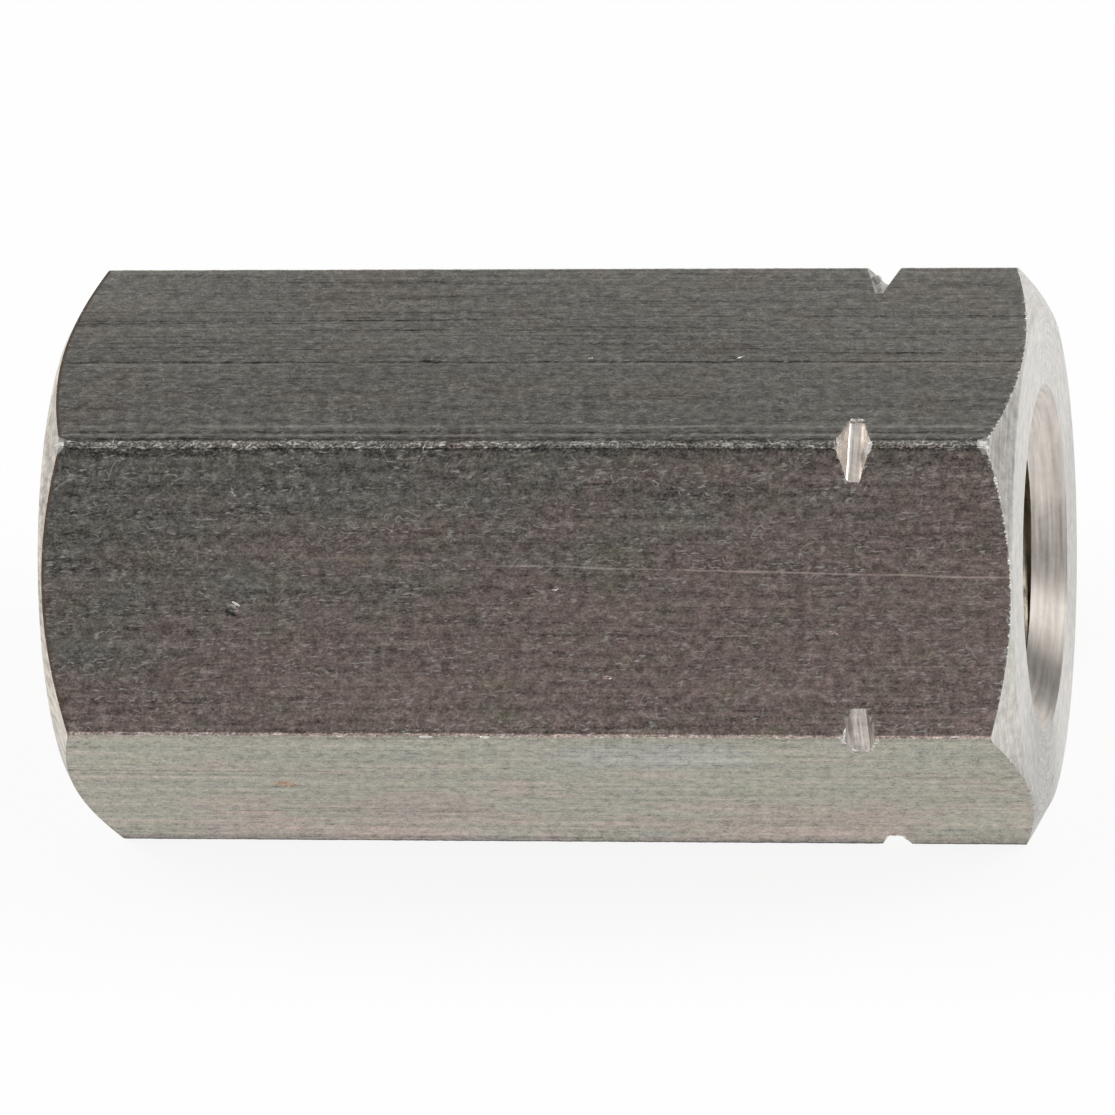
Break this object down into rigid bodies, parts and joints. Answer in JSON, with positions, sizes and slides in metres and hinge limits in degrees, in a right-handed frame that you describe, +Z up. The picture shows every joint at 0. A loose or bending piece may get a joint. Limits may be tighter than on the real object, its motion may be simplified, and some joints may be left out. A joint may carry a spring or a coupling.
{
  "type": "coupling nut",
  "caption": "Long hexagon coupling nut turned from drawn steel bar, with a left-hand thread right through, chamfered and countersunk ends, and a mark groove across the corners.",
  "frame": {"origin": "on the thread's axis, halfway along the nut", "axes": "+X along the thread towards the end that carries the left-hand mark, +Z up, square to the flat that is uppermost when the nut lies on the opposite one"},
  "size_m": [0.0362, 0.0216, 0.0188],
  "materials": {
    "bare_steel": "uncoated drawn bar with dark mill flats, bright turned ends and groove"
  },
  "bodies": {
    "root": {"coupling_nut": "bare_steel"}
  },
  "joints": []
}
